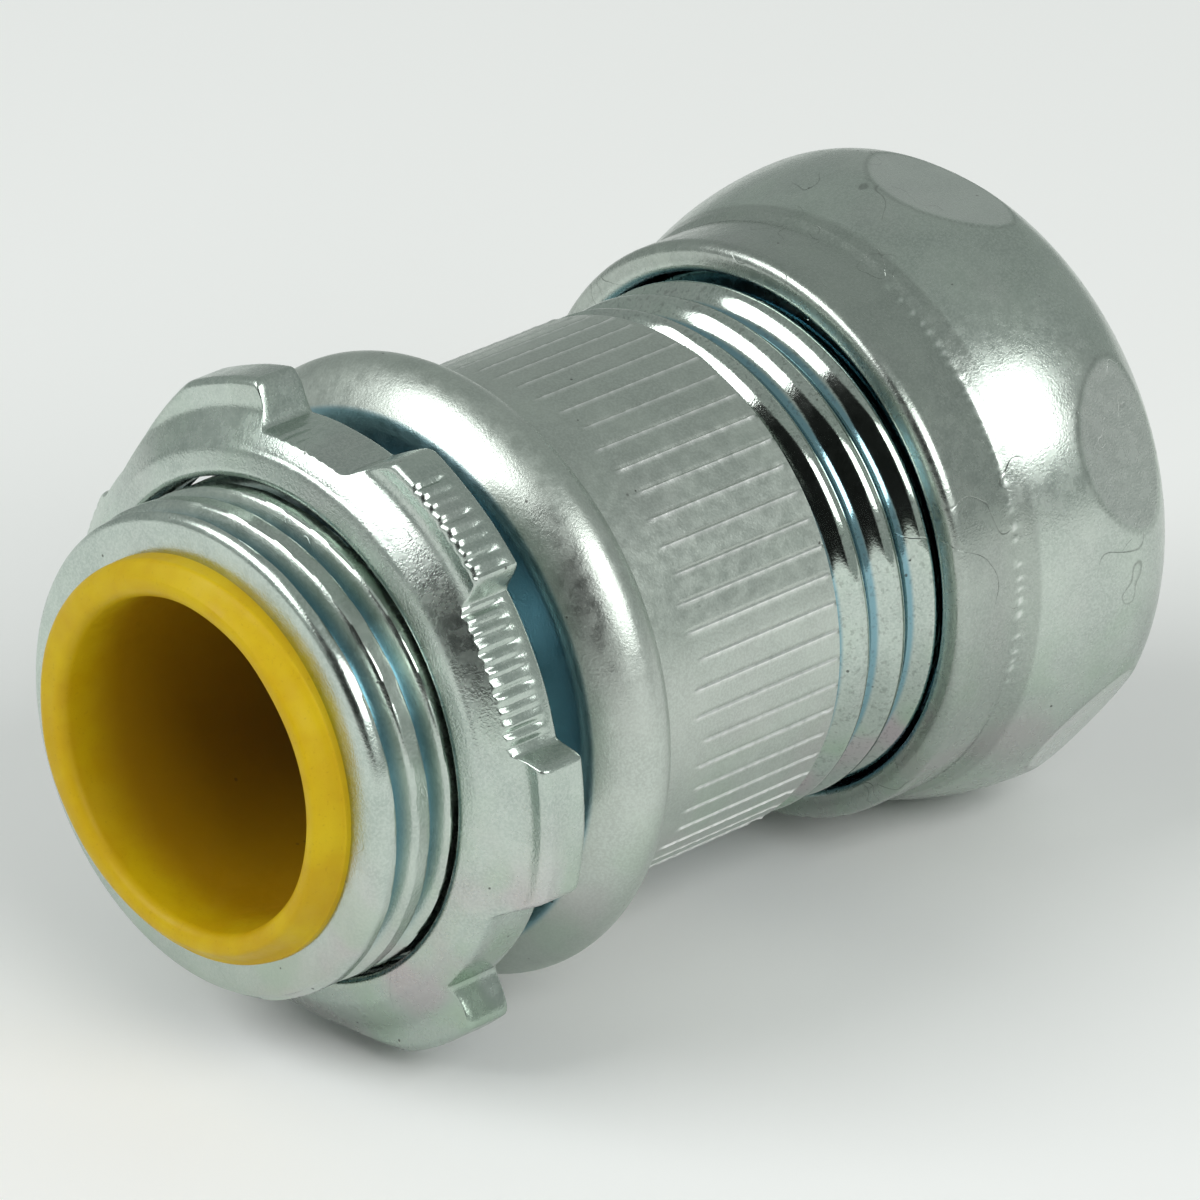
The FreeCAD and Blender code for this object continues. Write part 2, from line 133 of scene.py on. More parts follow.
NUT_THREAD_HEIGHT = 0.6
NUT_HOLE = 9.35
FLAT_REACH = 13.5                   # a wrench flat's distance from the axis
FLAT_PLACE = 9.9                    # where it has that distance
FLAT_LEAN = 7.5
FLAT_MIDDLE = 98.3                  # a wrench flat stands at this angle
FLAT_EVERY = 60


# ---------------------------------------------------------------- shaping

def smooth(low, high, value):
    """0 below low, 1 above high, and an even curve between."""
    share = np.clip((value - low) / (high - low), 0, 1)
    return share * share * (3 - 2 * share)


def between(rise, fall, value):
    """1 on a stretch that begins over the pair of values rise and ends over the pair fall, 0 elsewhere."""
    return smooth(*rise, value) * (1 - smooth(*fall, value))


def mound(value, middle, width):
    """A rounded hump, 1 at its middle."""
    return np.exp(-((value - middle) / width) ** 2)


def line(start, end, step):
    """Points from start up to but not including end, about a step apart."""
    count = max(1, round(math.dist(start, end) / step))
    return [(start[0] + (end[0] - start[0]) * i / count, start[1] + (end[1] - start[1]) * i / count)
            for i in range(count)]


def arc(middle, radius, first, last, count):
    """Points on an arc. The angles run from the radial direction towards +X."""
    angles = [math.radians(first + (last - first) * i / count) for i in range(count + 1)]
    return [(middle[0] + radius * math.sin(a), middle[1] + radius * math.cos(a)) for a in angles]


def turn(name, outline, columns, sectors=8):
    """Draws a closed outline point by point, spins one sector and doubles it until the ring is whole."""
    bpy.ops.object.select_all(action="DESELECT")
    x, radius = outline[0]
    bpy.ops.mesh.primitive_circle_add(vertices=3, radius=MM, location=(x * MM, 0, radius * MM))
    piece = bpy.context.object
    piece.name = piece.data.name = name
    bpy.ops.object.transform_apply(location=True)
    bpy.ops.object.mode_set(mode="EDIT")
    bpy.ops.mesh.select_all(action="SELECT")
    bpy.ops.mesh.merge(type="CENTER")
    for before, here in zip(outline, outline[1:] + outline[:1]):
        step = ((here[0] - before[0]) * MM, 0, (here[1] - before[1]) * MM)
        bpy.ops.mesh.extrude_region_move(TRANSFORM_OT_translate={"value": step})
    bpy.ops.mesh.select_all(action="SELECT")
    bpy.ops.mesh.remove_doubles(threshold=MERGE)
    bpy.ops.mesh.spin(steps=columns // sectors, angle=math.tau / sectors, center=(0, 0, 0), axis=(1, 0, 0))
    done = 1
    while done < sectors:
        bpy.ops.mesh.select_all(action="SELECT")
        bpy.ops.mesh.duplicate()
        bpy.ops.transform.rotate(value=math.tau * done / sectors, orient_axis="X",
                                 center_override=(0, 0, 0))
        done *= 2
    bpy.ops.mesh.select_all(action="SELECT")
    bpy.ops.mesh.remove_doubles(threshold=MERGE)
    bpy.ops.mesh.normals_make_consistent(inside=False)
    bpy.ops.object.mode_set(mode="OBJECT")
    return piece


def press(piece, rule):
    """Moves every point as rule(x, radius, angle) says, in millimetres and degrees.

    The rule's last value is kept on the points as "marks": 1 for bright metal, from painted highlights and
    wear,
    -1 for painted shade in the knurl grooves and a darker line along the nut's flats, and 0 for neither.
    """
    points = np.empty(len(piece.data.vertices) * 3)
    piece.data.vertices.foreach_get("co", points)
    points = points.reshape(-1, 3) / MM
    x, y, z = points.T
    x, radius, angle, wear_and_painted_light = rule(x, np.hypot(y, z), np.degrees(np.arctan2(z, y)))
    turned = np.radians(angle)
    points = np.stack([x, radius * np.cos(turned), radius * np.sin(turned)], axis=1) * MM
    piece.data.vertices.foreach_set("co", points.ravel())
    layer = piece.data.attributes.new("wear_and_painted_light", "FLOAT", "POINT")
    layer.data.foreach_set("value", np.broadcast_to(wear_and_painted_light, len(points)).astype(np.float32).copy())
    piece.data.update()


def off_helix(x, angle, start, pitch):
    """Distance along the axis to the nearest turn of a right-hand helix, with its sign."""
    turns = (x - start) / pitch - (angle - 90) / 360
    return (turns - np.round(turns)) * pitch


def ripple(x, angle, waves, seed):
    """A gentle uneven wave between about -1 and 1, the same on every run."""
    choose = np.random.default_rng(seed)
    total = 0
    for order in waves:
        phase, slant = choose.uniform(0, math.tau), choose.uniform(-0.5, 0.5)
        total = total + np.sin(np.radians(angle) * order + slant * x + phase)
    return total / len(waves)


def dress(piece, body, material, edge=38):
    """Shades a piece smooth below an edge angle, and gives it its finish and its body."""
    bpy.ops.object.select_all(action="DESELECT")
    piece.select_set(True)
    bpy.context.view_layer.objects.active = piece
    bpy.ops.object.shade_smooth_by_angle(angle=math.radians(edge))
    piece.data.materials.append(material)
    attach(piece, body)
    return piece


# ---------------------------------------------------------------- finishes

def feed(tree, socket, value):
    """Links another node's output to a socket, or sets a plain value on it."""
    if isinstance(value, bpy.types.NodeSocket):
        tree.links.new(value, socket)
    else:
        socket.default_value = value


def add_node(tree, kind, settings=None, **inputs):
    """A shader node with its settings. Its inputs go by name, or as i0, i1 and so on by number."""
    node = tree.nodes.new("ShaderNode" + kind)
    for key, value in (settings or {}).items():
        setattr(node, key, value)
    for key, value in inputs.items():
        place = int(key[1:]) if key[1:].isdigit() else key.replace("_", " ")
        feed(tree, node.inputs[place], value)
    return node


class Finish:
    """A material under construction: its node tree, its shader and its object coordinates."""

    def __init__(self, name):
        self.material = bpy.data.materials.new(name)
        self.material.use_nodes = True
        self.tree = self.material.node_tree
        self.shader = self.tree.nodes["Principled BSDF"]
        self.place = self.add("TexCoord").outputs["Object"]

    def add(self, kind, settings=None, **inputs):
        return add_node(self.tree, kind, settings, **inputs)

    def noise(self, scale, detail=2.0, roughness=0.5):
        """Noise whose grains are about 1/scale metres across."""
        node = self.add("TexNoise", Vector=self.place, Scale=scale, Detail=detail, Roughness=roughness)
        return node.outputs["Fac"]

    def span(self, value, low, high, first=0.0, last=1.0):
        """Maps low..high smoothly onto first..last."""
        node = self.add("MapRange", {"interpolation_type": "SMOOTHSTEP"}, Value=value, i1=low, i2=high,
                        i3=first, i4=last)
        return node.outputs["Result"]

    def math(self, operation, first, second=0.0):
        return self.add("Math", {"operation": operation}, i0=first, i1=second).outputs[0]

    def mix(self, share, first, second):
        """Mixes two colours."""
        node = self.add("Mix", {"data_type": "RGBA"}, i0=share, i6=first, i7=second)
        return node.outputs[2]

    def radius(self):
        """Distance from the axis, in metres."""
        flat = self.add("VectorMath", {"operation": "MULTIPLY"}, i0=self.place, i1=(0.0, 1.0, 1.0))
        return self.add("VectorMath", {"operation": "LENGTH"}, i0=flat.outputs[0]).outputs["Value"]

    def axis(self, name):
        """One object coordinate, in metres."""
        return self.add("SeparateXYZ", Vector=self.place).outputs[name]

    def hairlines(self, scale, width, cover):
        """1 on thin curved lines that come and go, 0 elsewhere."""
        bent = self.noise(scale, 1.5, 0.5)
        off = self.math("ABSOLUTE", self.math("SUBTRACT", bent, 0.5))
        thin = self.span(off, 0.0, width, 1.0, 0.0)
        where = self.span(self.noise(scale * 0.6, 1.0), cover, cover + 0.04)
        return self.math("MULTIPLY", thin, where)

    def pits(self, scale, size, cover):
        """1 on small spots, 0 elsewhere."""
        cells = self.add("TexVoronoi", {"feature": "F1"}, Vector=self.place, Scale=scale, Randomness=1.0)
        spot = self.span(cells.outputs["Distance"], size * 0.5, size, 1.0, 0.0)
        chosen = self.span(self.noise(scale * 0.35, 1.0), cover, cover + 0.03)
        return self.math("MULTIPLY", spot, chosen)

    def bump(self, height, strength, distance, under=None):
        """A normal that follows a height, laid over the normal under it."""
        inputs = {"Height": height, "Strength": strength, "Distance": distance}
        if under is not None:
            inputs["Normal"] = under
        return self.add("Bump", **inputs).outputs["Normal"]

    def wire(self, **sockets):
        """Sets the shader's own sockets."""
        for key, value in sockets.items():
            feed(self.tree, self.shader.inputs[key.replace("_", " ")], value)


ZINC = (0.535, 0.610, 0.555, 1.0)
ZINC_LIGHT = (0.66, 0.72, 0.67, 1.0)
ZINC_DARK = (0.455, 0.525, 0.480, 1.0)
# painted shade for the underside
ZINC_UNDERSIDE_SHADE = (0.33, 0.39, 0.35, 1.0)
ZINC_WARM = (0.60, 0.585, 0.545, 1.0)
# painted shade for hollows and for faces in another part's shadow
ZINC_HOLLOW_SHADE = (0.20, 0.38, 0.45, 1.0)
ZINC_ROSE = (0.62, 0.49, 0.55, 1.0)
ZINC_GREEN = (0.44, 0.60, 0.44, 1.0)
# bright metal for wear and for painted highlights
WORN_AND_HIGHLIGHT = (0.95, 0.96, 0.94, 1.0)
# near black for pits and scratches, and for painted shade
PIT_AND_SHADE = (0.06, 0.06, 0.055, 1.0)
NYLON = (0.54, 0.34, 0.002, 1.0)
NYLON_LIGHT = (0.61, 0.43, 0.004, 1.0)
NYLON_SPECK = (0.36, 0.21, 0.003, 1.0)
# painted shade down the bore
NYLON_BORE_SHADE = (0.36, 0.19, 0.002, 1.0)
SMUDGE = (0.16, 0.09, 0.01, 1.0)
TABLE = (0.96, 0.96, 0.95, 1.0)
ROOM = (0.92, 1.0, 0.96, 1.0)


def zinc(name, roughness, grain, painted_shade=None, scratches=0.5, rainbow=0.5, warm=0.0, speckle=0.0):
    """Zinc plate with a fine grain, hairline scratches and pits.

    tint(finish) gives the share of painted shade, a deep blue-green, in hollows and on faces shadowed by
    another part, warm the share of a browner grey, and speckle the share of black grains. The plate's rose
    and green sheen gathers on the underside, where painted shade also darkens it.
    """
    finish = Finish(name)
    blotch = finish.span(finish.noise(380, 3.0, 0.55), 0.36, 0.66)
    speck = finish.span(finish.noise(9000, 1.5, 0.6), 0.36, 0.66)
    tone = finish.mix(blotch, ZINC_DARK, ZINC)
    tone = finish.mix(warm, tone, ZINC_WARM)
    tone = finish.mix(finish.math("MULTIPLY", speck, 0.5), tone, ZINC_LIGHT)
    under = finish.span(finish.axis("Z"), -8.5 * MM, 1.0 * MM, rainbow, rainbow * 0.12)
    rose = finish.span(finish.noise(230, 1.5, 0.5), 0.48, 0.70)
    tone = finish.mix(finish.math("MULTIPLY", rose, under), tone, ZINC_ROSE)
    green = finish.span(finish.noise(310, 1.5, 0.5), 0.52, 0.32)
    tone = finish.mix(finish.math("MULTIPLY", green, under), tone, ZINC_GREEN)
    # painted shade: darker towards the bottom, on the underside that faces away from the lights
    underside_shade = finish.span(finish.axis("Z"), -13 * MM, -1.0 * MM, 0.65, 0.0)
    tone = finish.mix(underside_shade, tone, ZINC_UNDERSIDE_SHADE)
    # painted shade: a deep blue-green in hollows and on faces shadowed by another part, where little light
    # reaches
    if painted_shade is not None:
        tone = finish.mix(painted_shade(finish), tone, ZINC_HOLLOW_SHADE)
    pits = finish.pits(1500, 0.13, 0.62)
    tone = finish.mix(finish.math("MULTIPLY", pits, 0.8), tone, PIT_AND_SHADE)
    if speckle:
        black = finish.span(finish.noise(4200, 2.0, 0.7), 0.44, 0.36, 0.0, speckle)
        tone = finish.mix(black, tone, PIT_AND_SHADE)
    lines = finish.hairlines(210, 0.004, 0.60)
    fine_lines = finish.hairlines(480, 0.006, 0.62)
    scored = finish.math("MAXIMUM", lines, finish.math("MULTIPLY", fine_lines, 0.7))
    tone = finish.mix(finish.math("MULTIPLY", scored, 0.4 * scratches), tone, PIT_AND_SHADE)
    # per-point marks: bright for painted highlights and wear, dark for painted shade and darker lines
    wear_and_painted_light = finish.add("Attribute", {"attribute_name": "wear_and_painted_light"}).outputs["Fac"]
    tone = finish.mix(finish.math("MAXIMUM", wear_and_painted_light, 0.0), tone, WORN_AND_HIGHLIGHT)
    tone = finish.mix(finish.math("MAXIMUM", finish.math("MULTIPLY", wear_and_painted_light, -1.0), 0.0), tone, PIT_AND_SHADE)
    rough = finish.span(finish.noise(1600, 3.0, 0.6), 0.3, 0.7, roughness * 0.85, roughness * 1.2)
    normal = finish.bump(finish.noise(9000, 2.0, 0.6), grain, 0.02 * MM)
    normal = finish.bump(finish.noise(900, 2.0, 0.5), grain * 0.12, 0.06 * MM, normal)
    normal = finish.bump(finish.math("ADD", scored, pits), 0.4 * scratches, -0.03 * MM, normal)
    finish.wire(Base_Color=tone, Metallic=1.0, Roughness=rough, Normal=normal)
    return finish.material


def nylon():
    """Satin yellow moulding, a little translucent and smudged, with painted shade making it browner down
    the bore.
    """
    finish = Finish("yellow_nylon")
    blotch = finish.span(finish.noise(300, 3.0, 0.6), 0.3, 0.7)
    tone = finish.mix(blotch, NYLON, NYLON_LIGHT)
    specks = finish.span(finish.noise(6500, 2.0, 0.7), 0.58, 0.75, 0.0, 0.30)
    tone = finish.mix(specks, tone, NYLON_SPECK)
    # painted shade: browner further down the bore, where less light reaches
    deep = finish.span(finish.axis("X"), (LIP_END + 0.5) * MM, (LIP_END + 3.5) * MM, 0.0, 0.9)
    tone = finish.mix(deep, tone, NYLON_BORE_SHADE)
    pits = finish.pits(900, 0.10, 0.64)
    tone = finish.mix(finish.math("MULTIPLY", pits, 0.7), tone, SMUDGE)
    rough = finish.span(finish.noise(900, 3.0, 0.6), 0.3, 0.7, 0.40, 0.56)
    normal = finish.bump(finish.noise(4200, 3.0, 0.65), 0.25, 0.03 * MM)
    normal = finish.bump(finish.noise(260, 2.0, 0.5), 0.20, 0.25 * MM, normal)
    finish.wire(Base_Color=tone, Roughness=rough, Normal=normal, Subsurface_Weight=0.08,
                Subsurface_Scale=0.5 * MM, Specular_IOR_Level=0.22)
    finish.shader.inputs["Subsurface Radius"].default_value = (1.0, 0.6, 0.1)
    return finish.material


# ---------------------------------------------------------------- connector body

def hub():
    """The threaded hub: rounded end, thread, and plain neck under the shoulder."""
    bevel = 0.15
    nose = (HUB_END + HUB_NOSE, HUB_CREST - HUB_NOSE)
    outline = line((NECK_END, HUB_BORE), (HUB_END + bevel, HUB_BORE), 1.2)
    outline += [(HUB_END + bevel, HUB_BORE), (HUB_END, HUB_BORE + bevel)]
    outline += line((HUB_END, HUB_BORE + 0.2), (HUB_END, nose[1]), 0.4)
    outline += arc(nose, HUB_NOSE, -90, 0, 8)
    outline += line((nose[0] + 0.07, HUB_CREST), (NECK_START, HUB_CREST), 0.07)
    outline += [(NECK_START, HUB_CREST), (NECK_START, NECK + 0.12), (NECK_START + 0.12, NECK)]
    outline += line((NECK_START + 0.3, NECK), (NECK_END, NECK), 0.3)
    outline += line((NECK_END, NECK), (NECK_END, HUB_BORE), 0.5)
    piece = turn("hub_thread", outline, columns=304)

    def cut_thread(x, radius, angle):
        """Sinks the thread, which fades out over the rounded end, and wears its crests unevenly."""
        bottom, skin = 0.05, 0.035
        away = np.abs(off_helix(x, angle, HUB_START, HUB_PITCH))
        flank = np.clip((away - bottom) / (HUB_GROOVE - bottom), 0, 1)
        flank = 0.45 * flank + 0.55 * smooth(0, 1, flank)
        fade = smooth(HUB_END + 0.05, HUB_END + 0.5, x)
        depth = HUB_DEPTH * (1 - flank) * fade
        outside = (radius > NECK + 0.3) & (x < NECK_START + 0.05)
        worn = skin * ripple(x * 3, angle, (3, 7, 13, 29), 5)
        cut = np.maximum(radius - depth - skin - worn * fade, NECK + 0.05)
        return x, np.where(outside, cut, radius), angle, 0

    # painted shade in the thread's grooves, kept off the rounded end
    def hollow_shade(finish):
        low = finish.span(finish.radius(), (HUB_CREST - HUB_DEPTH) * MM, (HUB_CREST - 0.2) * MM, 0.8, 0.0)
        past_end = finish.span(finish.axis("X"), (HUB_END + 0.45) * MM, (HUB_END + 0.9) * MM)
        return finish.math("MULTIPLY", low, past_end)

    press(piece, cut_thread)
    return dress(piece, "root", zinc("hub_zinc", roughness=0.22, grain=0.35, painted_shade=hollow_shade))


def barrel():
    """Shoulder face, rolled bead and the barrel with its scored lines."""
    inner, bevel = NECK - 0.4, 0.08
    plain_end, end = KNURL[0] - 0.4, RELIEF[0] + 0.3
    rise, fall = BEAD_TOP - BEAD_FOOT, BEAD_TOP - BARREL
    outline = line((0, inner), (0, BEAD_FOOT), 0.5)
    steps = [i / 16 for i in range(16)]
    outline += [(2 * t * (1 - t) * BEAD_BROW + t * t * BEAD_CROWN, BEAD_FOOT + rise * (1 - (1 - t) ** 2))
                for t in steps]
    back = [math.radians(i * 5) for i in range(18)]
    outline += [(BEAD_CROWN + BEAD_BACK * math.sin(a), BARREL + fall * math.cos(a)) for a in back]
    outline += [(outline[-1][0] + 0.06, BARREL + 0.09), (outline[-1][0] + 0.22, BARREL + 0.02)]
    outline += line((outline[-1][0] + 0.2, BARREL), (plain_end, BARREL), 0.4)
    outline += line((plain_end, BARREL), (RELIEF[0] - bevel, BARREL), 0.22)
    outline += [(RELIEF[0] - bevel, BARREL), (RELIEF[0], BARREL - bevel), (RELIEF[0], GLAND_ROOT)]
    outline += line((RELIEF[0], GLAND_ROOT), (end, GLAND_ROOT), 0.3)
    outline += line((end, GLAND_ROOT), (end, SOCKET), 0.6)
    outline += line((end, SOCKET), (SOCKET_STOP, SOCKET), 2.0)
    outline += line((SOCKET_STOP, SOCKET), (SOCKET_STOP, HUB_BORE), 0.5)
    outline += line((SOCKET_STOP, HUB_BORE), (0, HUB_BORE), 1.2)
    outline += line((0, HUB_BORE), (0, inner), 0.4)
    piece = turn("shoulder_and_barrel", outline, columns=KNURL_LINES * KNURL_COLUMNS)
    starts = KNURL[0] + rng.uniform(-0.3, 0.3, KNURL_LINES)
    stops = KNURL[1] + rng.uniform(-0.15, 0.05, KNURL_LINES)
    depths = rng.uniform(0.75, 1.1, KNURL_LINES)

    def score(x, radius, angle):
        """Draws the columns together at each line, sinks its groove and raises the burr beside it."""
        pitch = 360 / KNURL_LINES
        cell = np.round(angle / pitch)
        index = cell.astype(int) % KNURL_LINES
        off = angle / pitch - cell
        off = np.sign(off) * np.abs(2 * off) ** 1.9 / 2
        angle = (cell + off) * pitch
        away = np.radians(off * pitch) * BARREL
        outside = (radius > BARREL - 0.01) & (x > KNURL[0] - 0.5) & (x < RELIEF[0] + 0.01)
        start, stop = starts[index], stops[index]
        here = between((start, start + 0.4), (stop, stop + 0.1), x) * outside * depths[index]
        ragged = 0.72 + 0.28 * np.sin(x * 11.1 + index * 2.3) * np.sin(x * 4.3 + index)
        groove = -0.05 * mound(away, 0, 0.05)
        burr = 0.07 * mound(away, 0.10, 0.06) * ragged
        end_blob = 0.05 * mound(x, stop - 0.15, 0.15) * mound(away, 0.06, 0.12)
        wave = 0.006 * ripple(x * 1.3, angle, (5, 11, 23, 41), 8) * outside
        # painted highlight along each burr, and painted shade down the middle of each groove
        wear_and_painted_light = 1.6 * mound(away, 0.09, 0.07) * ragged - 0.3 * mound(away, -0.03, 0.04)
        return x, radius + (groove + burr + end_blob) * here + wave, angle, wear_and_painted_light * np.clip(here, 0, 1)

    # painted shade on the shoulder face, which lies in the locknut's shadow
    def shoulder(finish):
        return finish.span(finish.axis("X"), 0.02 * MM, 0.2 * MM, 0.85, 0.0)

    press(piece, score)
    return dress(piece, "root",
                 zinc("barrel_zinc", roughness=0.35, grain=0.5, painted_shade=shoulder, scratches=0.12, rainbow=0.3,
                      warm=0.3))


def gland_thread():
    """The open end of the body: relief groove, wide rounded thread, ring seat and socket."""
    start, bevel = RELIEF[0] + 0.1, 0.3
    outline = line((start, GLAND_ROOT), (start, BARREL), 0.2)
    outline += line((start, BARREL), (BODY_END - bevel, BARREL), 0.07)
    outline += [(BODY_END - bevel, BARREL), (BODY_END, BARREL - bevel)]
    outline += line((BODY_END, BARREL - 0.35), (BODY_END, SEAT_MOUTH), 0.3)
    outline += line((BODY_END, SEAT_MOUTH), (SEAT_START, SOCKET), 0.5)
    outline += line((SEAT_START, SOCKET), (start, SOCKET), 1.5)
    outline += line((start, SOCKET), (start, GLAND_ROOT), 0.5)
    piece = turn("gland_thread", outline, columns=400)

    def roll_thread(x, radius, angle):
        """Sinks the rounded thread, and the relief groove that it runs out into."""
        away = np.abs(off_helix(x, angle, GLAND_START, GLAND_PITCH)) / (GLAND_PITCH / 2)
        slope = 0.6 * (0.5 + 0.5 * np.cos(math.pi * away)) + 0.4 * (1 - smooth(0.02, 0.9, away))
        slope = np.maximum(slope, 1 - smooth(RELIEF[0] + 0.12, RELIEF[1] + 0.3, x))
        outside = radius > BARREL - 0.31
        wave = 0.008 * (1 + ripple(x * 2, angle, (4, 9, 17, 31), 3))
        return x, radius - ((GLAND_DEPTH - 0.02) * slope + wave) * outside, angle, 0

    # painted shade in the rolled thread's grooves
    def hollow_shade(finish):
        return finish.span(finish.radius(), (GLAND_ROOT + 0.06) * MM, (GLAND_ROOT + 0.2) * MM, 0.9, 0.0)

    press(piece, roll_thread)
    return dress(piece, "root",
                 zinc("gland_thread_zinc", roughness=0.10, grain=0.12, painted_shade=hollow_shade, rainbow=0.9,
                      speckle=0.25))


# ---------------------------------------------------------------- throat insulator

def insulator():
    """Sleeve with a thick soft lip that rolls over the hub's end."""
    outer, inner = 0.5, 0.55
    lip = LIP - 0.15
    outside = HUB_BORE - 0.05
    outline = line((SLEEVE_END, THROAT), (LIP_END + inner, THROAT), 0.5)
    outline += arc((LIP_END + inner, THROAT + inner), inner, 180, 270, 8)
    outline += line((LIP_END, THROAT + inner + 0.06), (LIP_END, lip - outer - 0.06), 0.1)
    outline += arc((LIP_END + outer, lip - outer), outer, -90, 0, 9)
    outline += line((LIP_END + outer + 0.1, lip), (HUB_END, lip), 0.2)
    outline += line((HUB_END, lip), (HUB_END, outside), 0.3)
    outline += line((HUB_END, outside), (SLEEVE_END, outside), 1.5)
    outline += line((SLEEVE_END, outside), (SLEEVE_END, THROAT), 0.4)
    piece = turn("throat_insulator_lip", outline, columns=256)

    def mould(x, radius, angle):
        """Makes the lip a little uneven, and flatter on its sunk side."""
        crown = 7.9
        front = 1 - smooth(LIP_END + 0.6, LIP_END + 1.3, x)
        uneven = 1 + ripple(x, angle, (2, 3, 5, 9), 21)
        radius = radius - 0.035 * uneven * np.sign(radius - crown) * front
        x = x + 0.03 * (1 + ripple(radius, angle, (2, 4, 7, 12), 22)) * front
        sunk = smooth(7.8, 8.5, radius) * (0.5 + 0.5 * np.cos(np.radians(angle - SUNK_SIDE)))
        x = np.where(x < HUB_END, HUB_END - (HUB_END - x) * (1 - 0.75 * sunk), x)
        return x, radius, angle, 0

    press(piece, mould)
    return dress(piece, "root", nylon(), edge=50)


# ---------------------------------------------------------------- locknut

def locknut_edge(angle):
    """Outer radius of the locknut at an angle: lugs, ridged lands and the recesses between them."""
    away = np.abs((angle - LOCKNUT_MIRROR + 180) % 360 - 180)
    corners = [(0, LAND), (14.6, LAND), (15.5, LUG), (40, LUG), (47.5, RECESS), (70, RECESS), (71.8, LUG),
               (90, LUG - 0.1), (113, RECESS), (122.6, RECESS), (123.6, LAND), (142, LAND), (148.5, LUG),
               (180, LUG)]
    return np.interp(away, *zip(*corners))


def locknut():
    """Stamped plate, dished from the bore back to a thin edge with ridges and lugs."""
    rim = LOCKNUT_BACK - LOCKNUT_RIM
    round_front, round_back = 0.38, 0.3
    face = np.linspace(LOCKNUT_BORE + 0.45, LUG - round_front - 0.05, 26)
    drop = rim - LOCKNUT_FRONT

    def dish(radius):
        """How far the front face lies behind its bore edge at a radius."""
        even = np.clip((radius - LOCKNUT_BORE - 0.35) / 2.2, 0, 1)
        return drop * (0.5 * even + 0.5 * smooth(11.6, 13.7, radius))

    outline = [(LOCKNUT_FRONT + 0.5, LOCKNUT_BORE), (LOCKNUT_FRONT + 0.18, LOCKNUT_BORE + 0.05)]
    outline += [(LOCKNUT_FRONT + 0.04, LOCKNUT_BORE + 0.18), (LOCKNUT_FRONT, LOCKNUT_BORE + 0.32)]
    outline += [(LOCKNUT_FRONT + float(dish(r)), float(r)) for r in face]
    outline += arc((rim + round_front, LUG - round_front), round_front, -90, 0, 6)
    outline += line((rim + round_front + 0.12, LUG), (LOCKNUT_BACK - round_back, LUG), 0.14)
    outline += arc((LOCKNUT_BACK - round_back, LUG - round_back), round_back, 0, 90, 4)
    outline += line((LOCKNUT_BACK, LUG - round_back - 0.3), (LOCKNUT_BACK, LOCKNUT_SINK), 0.5)
    outline += line((LOCKNUT_BACK, LOCKNUT_SINK), (LOCKNUT_BACK - 0.6, LOCKNUT_BORE + 0.15), 0.4)
    outline += line((LOCKNUT_BACK - 0.7, LOCKNUT_BORE), (LOCKNUT_FRONT + 0.5, LOCKNUT_BORE), 0.14)
    piece = turn("locknut_plate", outline, columns=1200, sectors=16)

    def ridges(signed):
        """Where the edge is ridged, by the angle from the mirror line. Two patches have no mirror image."""
        away = np.abs(signed)
        ridged = between((-35, -34), (-17, -16), signed) + (1 - smooth(13.2, 13.8, away))
        ridged += 0.35 * between((-68, -64), (-50, -48), signed)
        ridged += between((125, 126), (140, 141), away)
        return ridged + between((151, 152), (176, 177), away)

    def stamp(x, radius, angle):
        """Cuts the edge's outline, presses its ridges, dishes the face and threads the bore."""
        spread = np.linspace(-0.9, 0.9, 7)
        edge = sum(locknut_edge(angle + s) for s in spread) / len(spread)
        before = radius
        share = np.clip((radius - LOCKNUT_FOOT) / (LUG - LOCKNUT_FOOT), 0, None)
        moved = LOCKNUT_FOOT + share * (edge - LOCKNUT_FOOT)
        signed = (angle - LOCKNUT_MIRROR + 180) % 360 - 180
        front = 1 - smooth(rim + 1.2, rim + 1.9, x)
        notch = 0.5 + 0.5 * np.cos(math.tau * np.abs(signed) / 2.45)
        outer = smooth(0.7, 0.97, share)
        uneven = 0.8 + 0.3 * np.sin(angle * 1.7)
        moved = moved - 0.13 * notch * ridges(signed) * front * outer * uneven
        moved = moved + 0.02 * ripple(x, angle, (6, 14, 27), 2) * outer - 0.02 * outer
        radius = np.where(radius > LOCKNUT_FOOT, moved, radius)
        bore = (radius < LOCKNUT_BORE + 0.02) & (x > LOCKNUT_FRONT + 0.45)
        turns = np.abs(off_helix(x, angle, LOCKNUT_FRONT + HUB_PITCH / 2, HUB_PITCH))
        radius = np.where(bore, radius + LOCKNUT_THREAD * (1 - smooth(0.1, 0.6, turns)), radius)
        dished = 0.04 * (1 + ripple(radius, angle, (2, 3, 7), 12)) * smooth(LOCKNUT_BORE, 12.2, radius)
        forward = dish(radius) - dish(before)
        x = x + (dished + forward) * (1 - smooth(rim + 0.1, rim + 1.4, x)) * (radius > LOCKNUT_FOOT)
        return x, radius, angle, 0

    press(piece, stamp)
    return dress(piece, "locknut",
                 zinc("locknut_zinc", roughness=0.25, grain=0.5, rainbow=0.8))


# ---------------------------------------------------------------- gland nut

